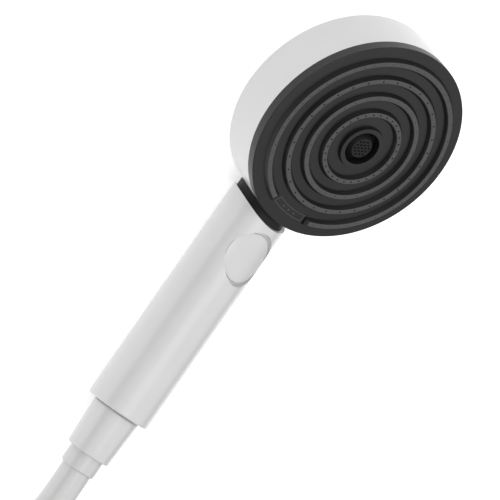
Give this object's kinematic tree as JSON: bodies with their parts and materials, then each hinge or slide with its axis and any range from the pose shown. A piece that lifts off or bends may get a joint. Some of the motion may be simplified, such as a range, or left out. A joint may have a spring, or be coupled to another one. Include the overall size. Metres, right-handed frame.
{
  "type": "handheld shower head",
  "caption": "Handheld shower head: round tilted head with rings of soft nozzles round a perforated centre, push button on the handle, smooth hose with screw fittings",
  "frame": {"origin": "bottom centre of the bounding box of the head, handle and near hose fitting, lying on the back of the handle", "axes": "+X along the handle towards the head, +Z the side the water leaves by, +Y to the left seen from the hose end looking along +X"},
  "size_m": [0.4346, 0.2305, 0.0612],
  "materials": {
    "white_plastic": "moulded white plastic with a soft gloss",
    "dark_plate": "moulded dark grey plastic, satin gloss",
    "soft_nozzles": "soft dark grey nozzle rubber",
    "soft_centre": "soft dark grey nozzle rubber, finely perforated",
    "plaque": "dark grey plaque with a raised rim",
    "dark_plastic": "dark grey plastic",
    "inner_plastic": "grey engineering plastic, hidden",
    "seal_rubber": "black sealing rubber",
    "steel": "stainless steel",
    "brass": "turned brass, hidden",
    "nut_plastic": "white plastic, soft gloss",
    "hose_plastic": "smooth white hose and white crimp sleeve"
  },
  "bodies": {
    "head_and_handle": {"head_shell": "white_plastic", "spray_plate": "dark_plate", "nozzle_strip_1": "soft_nozzles", "nozzle_strip_2": "soft_nozzles", "nozzle_strip_3": "soft_nozzles", "nozzle_strip_4": "soft_nozzles", "centre_nozzle": "soft_centre", "name_plaque": "plaque", "water_chamber": "inner_plastic", "jet_disc": "inner_plastic", "face_seal": "seal_rubber", "plate_screws": "steel", "collar": "dark_plastic", "neck_pipe": "inner_plastic", "neck_o_rings": "seal_rubber", "water_pipe": "inner_plastic", "pipe_o_rings": "seal_rubber", "handle_shell": "white_plastic", "button_spring": "steel", "valve_body": "inner_plastic", "valve_cover": "inner_plastic", "inlet_spigot": "inner_plastic", "check_valve_guide": "inner_plastic", "check_valve_body": "inner_plastic", "check_valve_spring": "steel", "hose_ferrule": "hose_plastic", "hose_nipple": "brass", "hose_washer": "seal_rubber", "hose_run": "hose_plastic", "hose_coil": "hose_plastic", "hose_last_turn": "hose_plastic", "far_ferrule": "hose_plastic", "far_nipple": "brass", "far_washer": "seal_rubber"},
    "button": {"button_cap": "white_plastic", "button_plunger": "inner_plastic"},
    "rotor": {"valve_rotor": "inner_plastic", "rotor_o_ring": "seal_rubber"},
    "poppet": {"check_valve_poppet": "inner_plastic"},
    "near_nut": {"hose_nut": "nut_plastic"},
    "far_end_nut": {"far_nut": "nut_plastic"}
  },
  "joints": [
    {"name": "button_press", "type": "slide", "parent": "head_and_handle", "child": "button", "axis": [0, 0, -1], "range_m": [0, 0.0022], "stiffness_N_per_m": 1200, "springref_m": -0.002, "deforming": ["button_spring"]},
    {"name": "mode_turn", "type": "hinge", "parent": "head_and_handle", "child": "rotor", "pos_m": [-0.00245, 0, 0.01605], "axis": [0, 0, 1], "range_deg": [0, 60.1]},
    {"name": "check_valve_lift", "type": "slide", "parent": "head_and_handle", "child": "poppet", "axis": [1, 0, 0], "range_m": [0, 0.002], "stiffness_N_per_m": 60, "springref_m": -0.002, "deforming": ["check_valve_spring"]},
    {"name": "hose_nut_turn", "type": "hinge", "parent": "head_and_handle", "child": "near_nut", "pos_m": [-0.10605, 0, 0.01605], "axis": [1, 0, 0], "continuous": true},
    {"name": "far_nut_turn", "type": "hinge", "parent": "head_and_handle", "child": "far_end_nut", "pos_m": [-0.19715, -0.166, 0.0428], "axis": [1, 0, 0], "continuous": true}
  ],
  "couplings": [
    {"joint": "mode_turn", "follows": "button_press", "rad_per_m": 476}
  ]
}
